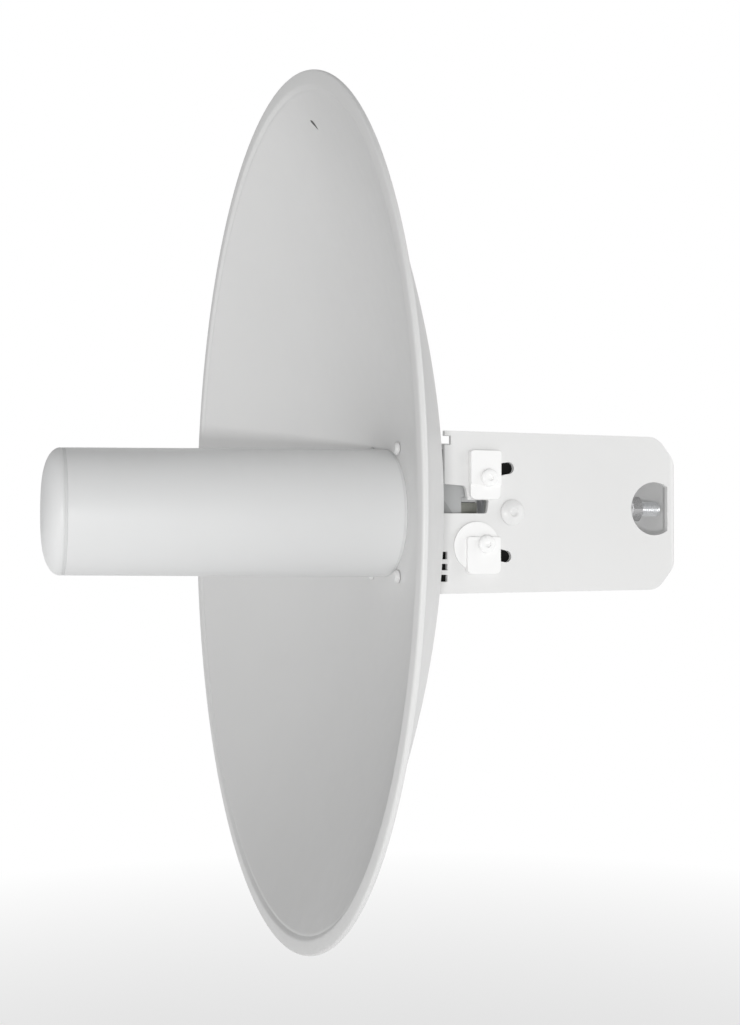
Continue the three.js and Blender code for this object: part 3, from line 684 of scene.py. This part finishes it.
def hex_nut(bm, flats, y0, y1, hole, pitch, centre, segments=HEX_SEGMENTS):
    """A hexagon along Y, chamfered on both faces. hole is its threaded hole's radius, or 0."""
    corner = flats / math.sqrt(3)
    face_r = flats / 2 * 0.95
    drop = (corner - face_r) * math.tan(math.radians(30))
    low = round_ring(bm, face_r, y0, segments, centre)
    high = round_ring(bm, face_r, y1, segments, centre)
    low_side, high_side = [], []
    for k in range(segments):
        angle = 2 * math.pi * k / segments
        in_sector = (angle + math.pi / 6) % (math.pi / 3) - math.pi / 6
        r = flats / 2 / math.cos(in_sector)
        back = (r - face_r) / (corner - face_r) * drop
        low_side.append(bm.verts.new(on_circle(centre, r, y0 + back, angle)))
        high_side.append(bm.verts.new(on_circle(centre, r, y1 - back, angle)))
    bridge(bm, low, low_side)
    bridge(bm, low_side, high_side)
    bridge(bm, high_side, high)
    if hole:
        step = hole * 0.1
        mouth_low = round_ring(bm, hole + step, y0, segments, centre)
        mouth_high = round_ring(bm, hole + step, y1, segments, centre)
        first, last = thread_rings(
            bm, hole, hole * 0.06, pitch, y0 + step, y1 - step, segments, centre)
        bridge(bm, low, mouth_low)
        bridge(bm, mouth_low, first)
        bridge(bm, last, mouth_high)
        bridge(bm, mouth_high, high)
    else:
        bm.faces.new(low)
        bm.faces.new(high)


def quarter_turned(obj, centre):
    """Turns a piece by 90 degrees about its own axis along Y."""
    turn = Matrix.Translation((centre[0], 0, centre[1])) @ Matrix.Rotation(math.pi / 2, 4, "Y")
    obj.data.transform(turn @ Matrix.Translation((-centre[0], 0, -centre[1])))


def nut_from(node, hole, pitch):
    """A nut along Y where the CAD's one is, with its corners where the CAD's are."""
    low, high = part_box(node)
    size = high - low
    flats = min(size.x, size.z, max(size.x, size.z) * math.sqrt(3) / 2)
    centre = axis_of(node)
    bm = bmesh.new()
    hex_nut(bm, flats, low.y, high.y, hole, pitch, centre)
    obj = from_bmesh(node + "_hex", bm, HEX_SMOOTH_DEG)
    if size.z > size.x:
        quarter_turned(obj, centre)
    stands_for(obj, node)


def side_nut_from(node, hole, pitch):
    """A nut along X where the CAD's one is."""
    low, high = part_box(node)
    size = high - low
    bm = bmesh.new()
    hex_nut(bm, min(size.y, size.z), 0.0, size.x, hole, pitch, (0.0, 0.0))
    obj = from_bmesh(node + "_hex", bm, HEX_SMOOTH_DEG)
    place = Matrix.Translation((high.x, middle(node).y, middle(node).z))
    obj.data.transform(place @ Matrix.Rotation(math.pi / 2, 4, "Z"))
    stands_for(obj, node)


def clamp_bolt(node):
    """A hexagon head, a plain shank and a threaded end, along Y."""
    low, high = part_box(node)
    centre = axis_of(node)
    head_h, flats, shank_r = 5.3 * MM, 13.0 * MM, 3.9 * MM
    under_head = low.y + head_h - 0.3 * MM
    thread_start, thread_end = low.y + 30.0 * MM, high.y - 0.6 * MM
    thread_depth, pitch = 0.62 * MM, CLAMP_THREAD[1]
    bm = bmesh.new()
    hex_nut(bm, flats, low.y, low.y + head_h, 0.0, pitch, centre)
    base = round_ring(bm, shank_r, under_head, HEX_SEGMENTS, centre)
    first, last = thread_rings(
        bm, shank_r, thread_depth, pitch, thread_start, thread_end, HEX_SEGMENTS, centre)
    tip = round_ring(bm, shank_r - 1.0 * MM, high.y, HEX_SEGMENTS, centre)
    bm.faces.new(base)
    bridge(bm, base, first)
    bridge(bm, last, tip)
    bm.faces.new(tip)
    obj = from_bmesh(node + "_hex", bm, HEX_SMOOTH_DEG)
    quarter_turned(obj, centre)
    stands_for(obj, node)


def pivot_rivet(node, sign):
    """A shouldered rivet with a domed, dimpled head."""
    low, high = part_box(node)
    length = high.x - low.x
    head_r = (high.z - low.z) / 2
    under_head = length - 2.3 * MM
    shoulder_r, shoulder_y, shank_r = 4.8 * MM, 2.1 * MM, 3.0 * MM
    loop = rounded([
        (0.0, 0.0),
        (shoulder_r, 0.0, 0.8 * MM),
        (shoulder_r, shoulder_y, 0.2 * MM),
        (shank_r, shoulder_y),
        (shank_r, under_head),
        (head_r, under_head, 0.15 * MM),
        (head_r, under_head + 0.5 * MM, 0.4 * MM),
        (head_r * 0.62, length - 0.25 * MM, 1.4 * MM),
        (head_r * 0.34, length - 0.05 * MM, 0.4 * MM),
        (head_r * 0.24, length - 0.8 * MM, 0.3 * MM),
        (0.0, length - 0.9 * MM),
    ], 4)
    obj = turned(node + "_turned", loop, 72)
    set_sideways(obj, node, sign)
    stands_for(obj, node)


def make_fasteners():
    for side, sign in SIDES:
        clamp_bolt("clamp_bolt_" + side)
        nut_from("clamp_nut_" + side, *CLAMP_THREAD)
        washer("clamp_washer_" + side, 4.3 * MM)
        pivot_rivet("pivot_rivet_" + side, sign)
        side_washer("pivot_washer_" + side, sign, 3.2 * MM)
        for level in LEVELS:
            tag = f"{level}_{side}"
            screw = fine_copy("lock_screw_" + tag, 0.22 * MM, 2, 40.0)
            side_nut_from("lock_nut_" + tag, *LOCK_THREAD)
            tab = fine_copy("lock_tab_" + tag, 0.3 * MM, 3)
            for piece in (screw, tab):
                piece.data.materials[0] = TAB_PAINT
    for index in range(1, HUB_SCREWS + 1):
        screw = fine_copy(f"hub_screw_{index}", 0.2 * MM, 2, 40.0)
        screw.data.materials[0] = MATERIALS["white_dish_paint"]
        nut_from(f"hub_nut_{index}", *HUB_THREAD)


# ---------------------------------------------------------------- bracket, hub and jaws
MAST_R = 15.6 * MM
RIB_COUNT = 11
RIB_PITCH = 1.6 * MM
RIB_START = 1.2 * MM
RIB_HEIGHT = 0.45 * MM
RIB_FOOT = 0.02 * MM
RIB_ROOT = 0.8 * MM
RIB_HALF = 16.2 * MM


def jaw_teeth(name, body, sign):
    """Grip ribs on both faces of a V jaw. sign is +1 for the jaw behind the mast."""
    apex = MAST_R * math.sqrt(2)
    along = Vector((1, -1)).normalized()
    inward = Vector((-1, -1)).normalized()
    profile = []
    for k in range(RIB_COUNT * 2 + 1):
        base = Vector((0, apex)) + along * (RIB_START + RIB_PITCH * k / 2)
        profile.append(base + inward * (RIB_HEIGHT if k % 2 else RIB_FOOT))
    outline = profile + [end - inward * RIB_ROOT for end in (profile[-1], profile[0])]
    for side, mirror in SIDES:
        bm = bmesh.new()
        rings = [
            [bm.verts.new((mirror * q.x, sign * q.y, z)) for q in outline]
            for z in (-RIB_HALF, RIB_HALF)
        ]
        bridge(bm, rings[0], rings[1])
        bm.faces.new(rings[0])
        bm.faces.new(list(reversed(rings[1])))
        bmesh.ops.triangulate(bm, faces=[f for f in bm.faces if len(f.verts) > 4])
        teeth = from_bmesh(f"{name}_{side}", bm, 20.0, weighted=False)
        added(teeth, body, "zinc_plate")


def make_structure():
    fine_copy("pole_bracket", 0.35 * MM, 2, 33.0)
    fine_copy("dish_hub", 0.5 * MM, 2, 33.0)
    fine_copy("front_jaw", 0.5 * MM, 2)
    fine_copy("rear_jaw", 0.5 * MM, 2)
    jaw_teeth("front_jaw_teeth", "bracket", -1)
    jaw_teeth("rear_jaw_teeth", "clamp_jaw", 1)
    # The friction shims are black and reach out behind the notches in the side plates: painted
    # shade where the notches show only shadow.
    for side, _ in SIDES:
        fine_copy("friction_shim_" + side, 0.08 * MM, 1)


# ---------------------------------------------------------------- radio
# (y, z, length, width, height) and (y, z), in millimetres.
CHIPS = ((-99.0, -4.5, 9.0, 9.0, 1.1), (-92.0, 8.5, 6.0, 5.0, 0.9), (-100.0, 9.0, 4.0, 6.0, 1.0))
COILS = ((-90.0, 1.0), (-90.0, -6.0))
SMALL_ROWS, SMALL_COLUMNS = 3, 7
SMALL_PLACES = [
    (-103.0 + 2.3 * column, -14.5 + 1.9 * row)
    for row in range(SMALL_ROWS)
    for column in range(SMALL_COLUMNS)
]
# (node, rounding in millimetres, segments, least angle of an edge that is rounded).
FINE_RADIO = (
    ("rear_housing", 0.35, 2, 33.0),
    ("port_cover", 0.25, 2, 33.0),
    ("port_cover_pin", 0.1, 1, 28.0),
    ("release_latch", 0.35, 2, 28.0),
    ("latch_spring", 0.08, 1, 28.0),
    ("reset_button", 0.15, 2, 33.0),
    ("light_pipe", 0.2, 2, 28.0),
    ("ethernet_jack", 0.25, 2, 28.0),
    ("radio_board", 0.1, 1, 28.0),
    ("shield_can", 0.3, 2, 28.0),
    ("thermal_pad", 0.2, 2, 28.0),
    ("board_carrier", 0.3, 2, 28.0),
    ("reset_switch", 0.15, 2, 28.0),
    ("waveguide", 0.25, 2, 40.0),
    ("sub_reflector", 0.25, 2, 40.0),
    ("sub_reflector_support", 0.25, 2, 40.0),
)
CONTACTS = 8
CONTACT_PITCH = 1.02 * MM
# (y, z) along a contact, in millimetres from the socket's low corner.
CONTACT_PATH = ((2.1, 2.0), (3.0, 6.0), (5.4, 13.0), (5.9, 15.4))


def set_on_board(bm, y, z, long, tall, high, edge):
    """A block on the board's face, middle (y, z) and sizes in millimetres."""
    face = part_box("radio_board")[1].x
    chamfered_block(
        bm,
        (face, (y - long / 2) * MM, (z - tall / 2) * MM),
        (face + high * MM, (y + long / 2) * MM, (z + tall / 2) * MM),
        edge * MM,
    )


def make_board_parts():
    """Chips, coils and small parts on the end of the board that the screen can leaves bare."""
    bm = bmesh.new()
    for y, z, long, tall, high in CHIPS:
        set_on_board(bm, y, z, long, tall, high, 0.12)
    added(from_bmesh("board_chips", bm, 30.0), "antenna", "black_nylon")
    bm = bmesh.new()
    for y, z in SMALL_PLACES:
        set_on_board(bm, y, z, 1.0, 0.6, 0.5, 0.05)
    for y, z in COILS:
        set_on_board(bm, y, z, 4.4, 4.4, 2.0, 0.5)
    added(from_bmesh("board_small_parts", bm, 30.0), "antenna", "stainless")


def make_jack_contacts():
    """Spring wires across the network socket."""
    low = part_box("ethernet_jack")[0]
    half = 0.22 * MM
    section = ((-half, -half), (half, -half), (half, half), (-half, half))
    bm = bmesh.new()
    for index in range(CONTACTS):
        x = (index - (CONTACTS - 1) / 2) * CONTACT_PITCH
        rings = [
            [bm.verts.new((x + dx, low.y + y * MM + dy, low.z + z * MM)) for dx, dy in section]
            for y, z in CONTACT_PATH
        ]
        for a, b in zip(rings, rings[1:]):
            bridge(bm, a, b)
        bm.faces.new(rings[0])
        bm.faces.new(list(reversed(rings[-1])))
    added(from_bmesh("jack_contacts", bm, 40.0, weighted=False), "antenna", "brass")


def make_radio():
    make_board_parts()
    make_jack_contacts()
    for node, width, segments, from_deg in FINE_RADIO:
        fine_copy(node, width * MM, segments, from_deg)


make_dish()
make_dish_mark()
make_feed()
make_fasteners()
make_structure()
make_radio()


# ---------------------------------------------------------------- studio
FLOOR_DROP = 0.9
FLOOR_RADIUS = 60.0
# The floor's glow goes from NEAR_GLOW to full between these distances from its middle.
GLOW_FROM, GLOW_TO, NEAR_GLOW = 1.0, 3.2, 0.36
WHITE = (1.0, 1.0, 1.0, 1.0)
# The backdrop is white to the camera and lights the object at this strength.
AMBIENT = 0.343
LIGHT_AIM = (0.0, -0.1, 0.0)
# (name, place, width, power). The low key lights the bowl and gives the feed its soft shadow.
LIGHTS = (
    ("key", (2.25, -1.05, -0.27), 0.12, 22.5),
    ("rear_fill", (0.9, 2.2, 0.5), 1.6, 17.0),
    ("far_rim", (-1.8, 0.4, 0.9), 1.4, 4.0),
)


def make_floor():
    """A wide pale floor that is lit from within and fades to the backdrop's white."""
    bm = bmesh.new()
    bmesh.ops.create_circle(bm, cap_ends=True, radius=FLOOR_RADIUS, segments=96)
    mesh = bpy.data.meshes.new("floor")
    bm.to_mesh(mesh)
    bm.free()
    floor = new_object("floor", mesh)
    floor.location = (0, 0, CAD_BOX[0].z - FLOOR_DROP)
    s = Surface("pale_floor", (0.90, 0.90, 0.90), 0.9)
    distance = s.node("ShaderNodeVectorMath", operation="LENGTH")
    s.link(s.place, distance.inputs[0])
    far = s.spread(distance.outputs["Value"], GLOW_FROM, GLOW_TO, NEAR_GLOW, 1.0)
    glow = s.node("ShaderNodeEmission")
    glow.inputs["Color"].default_value = WHITE
    blend = s.node("ShaderNodeMixShader")
    s.link(far, blend.inputs[0])
    s.link(s.shader.outputs[0], blend.inputs[1])
    s.link(glow.outputs[0], blend.inputs[2])
    s.link(blend.outputs[0], s.tree.nodes["Material Output"].inputs["Surface"])
    floor.data.materials.append(s.material)


def make_world():
    world = bpy.data.worlds.new("studio")
    bpy.context.scene.world = world
    world.use_nodes = True
    tree = world.node_tree
    seen = tree.nodes["Background"]
    seen.inputs["Color"].default_value = WHITE
    seen.inputs["Strength"].default_value = 1.0
    lights = tree.nodes.new("ShaderNodeBackground")
    lights.inputs["Color"].default_value = WHITE
    lights.inputs["Strength"].default_value = AMBIENT
    path = tree.nodes.new("ShaderNodeLightPath")
    blend = tree.nodes.new("ShaderNodeMixShader")
    tree.links.new(path.outputs["Is Camera Ray"], blend.inputs[0])
    tree.links.new(lights.outputs[0], blend.inputs[1])
    tree.links.new(seen.outputs[0], blend.inputs[2])
    tree.links.new(blend.outputs[0], tree.nodes["World Output"].inputs["Surface"])


def make_lights():
    for name, place, width, power in LIGHTS:
        data = bpy.data.lights.new(name, "AREA")
        data.shape = "RECTANGLE"
        data.size = data.size_y = width
        data.energy = power
        light = bpy.data.objects.new(name, data)
        bpy.context.scene.collection.objects.link(light)
        light.location = place
        away = Vector(LIGHT_AIM) - Vector(place)
        light.rotation_mode = "QUATERNION"
        light.rotation_quaternion = away.to_track_quat("-Z", "Y")


make_floor()
make_world()
make_lights()
bpy.context.scene.view_settings.view_transform = "Standard"
